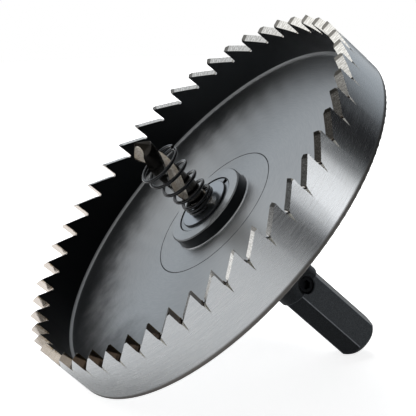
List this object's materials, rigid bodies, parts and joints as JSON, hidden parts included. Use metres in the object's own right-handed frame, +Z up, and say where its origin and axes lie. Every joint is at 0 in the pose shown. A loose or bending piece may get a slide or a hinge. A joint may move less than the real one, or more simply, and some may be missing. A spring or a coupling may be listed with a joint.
{
  "type": "hole saw",
  "caption": "Shallow large-diameter hole saw: toothed steel cup, hex shank arbor, pilot drill in an ejector spring, retaining ring and set screw.",
  "frame": {"origin": "on the floor, under the middle of the tool's bounding box, with the tool lying as it comes to rest on the back edge of the cup and the end of the shank", "axes": "+Z up; the tool axis lies in the XZ plane and leans 45.8 degrees from +Z, with the mouth of the cup facing up and towards -X and the shank pointing down and towards +X; +Y runs across the cup's diameter"},
  "size_m": [0.1234, 0.15, 0.1232],
  "materials": {
    "cup_steel": "turned high speed steel, satin, with fine lathe marks",
    "arbor_black": "black oxide on milled steel, with a bare turned end inside the cup",
    "ring_steel": "bright spring steel",
    "drill_steel": "polished high speed steel with dark flutes and ground point",
    "spring_wire": "oiled black spring wire",
    "screw_black": "black oxide"
  },
  "bodies": {
    "root": {"cup": "cup_steel", "arbor": "arbor_black", "retaining_ring": "ring_steel", "pilot_drill": "drill_steel", "ejector_spring": "spring_wire", "set_screw": "screw_black"}
  },
  "joints": []
}
